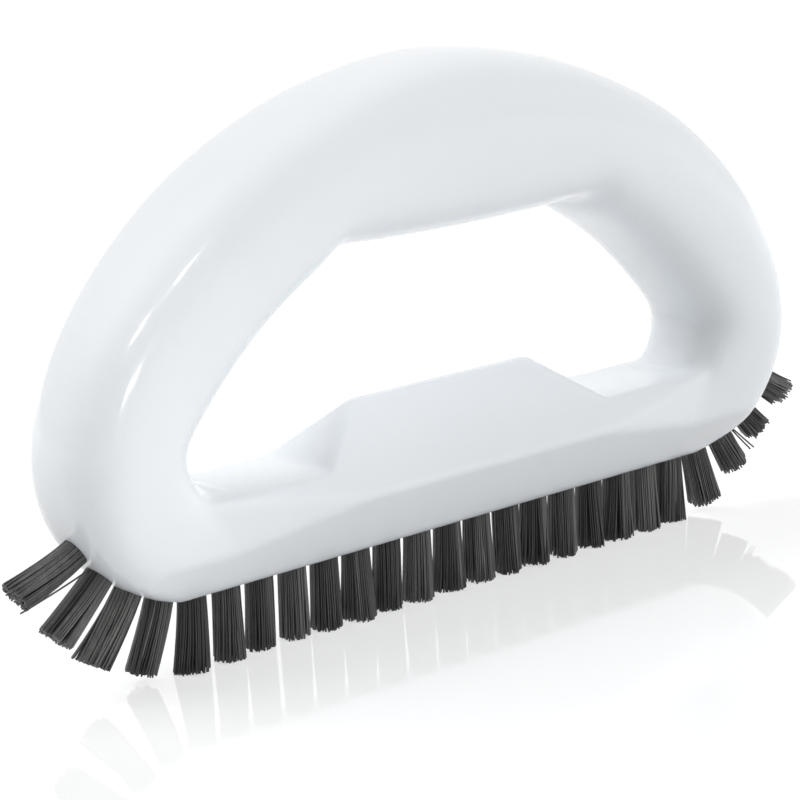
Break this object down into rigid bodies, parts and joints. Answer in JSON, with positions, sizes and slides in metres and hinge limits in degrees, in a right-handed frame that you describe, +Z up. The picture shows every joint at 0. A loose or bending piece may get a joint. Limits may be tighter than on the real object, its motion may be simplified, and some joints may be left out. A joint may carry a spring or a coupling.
{
  "type": "grout brush",
  "caption": "Hand brush for tile joints: one-piece white D-handle block over a slim single row of dark stiff bristle tufts that fan out round both ends.",
  "frame": {"origin": "on the plane of the straight tufts' trimmed tips, under the middle tuft of the row", "axes": "+X along the row of tufts, +Y across the brush, +Z up from the bristle tips to the grip"},
  "size_m": [0.2016, 0.0348, 0.1105],
  "materials": {
    "handle_plastic": "smooth moulded white plastic with a soft gloss",
    "bristle": "stiff charcoal nylon filament, slightly shiny along its length",
    "anchor_wire": "drawn flat wire, cut to length"
  },
  "bodies": {
    "root": {"handle_block": "handle_plastic", "tuft_01": "bristle", "tuft_02": "bristle", "tuft_03": "bristle", "tuft_04": "bristle", "tuft_05": "bristle", "tuft_06": "bristle", "tuft_07": "bristle", "tuft_08": "bristle", "tuft_09": "bristle", "tuft_10": "bristle", "tuft_11": "bristle", "tuft_12": "bristle", "tuft_13": "bristle", "tuft_14": "bristle", "tuft_15": "bristle", "tuft_16": "bristle", "tuft_17": "bristle", "tuft_18": "bristle", "tuft_19": "bristle", "tuft_20": "bristle", "tuft_21": "bristle", "tuft_22": "bristle", "tuft_23": "bristle", "tuft_24": "bristle", "tuft_25": "bristle", "anchor_01": "anchor_wire", "anchor_02": "anchor_wire", "anchor_03": "anchor_wire", "anchor_04": "anchor_wire", "anchor_05": "anchor_wire", "anchor_06": "anchor_wire", "anchor_07": "anchor_wire", "anchor_08": "anchor_wire", "anchor_09": "anchor_wire", "anchor_10": "anchor_wire", "anchor_11": "anchor_wire", "anchor_12": "anchor_wire", "anchor_13": "anchor_wire", "anchor_14": "anchor_wire", "anchor_15": "anchor_wire", "anchor_16": "anchor_wire", "anchor_17": "anchor_wire", "anchor_18": "anchor_wire", "anchor_19": "anchor_wire", "anchor_20": "anchor_wire", "anchor_21": "anchor_wire", "anchor_22": "anchor_wire", "anchor_23": "anchor_wire", "anchor_24": "anchor_wire", "anchor_25": "anchor_wire"}
  },
  "joints": []
}
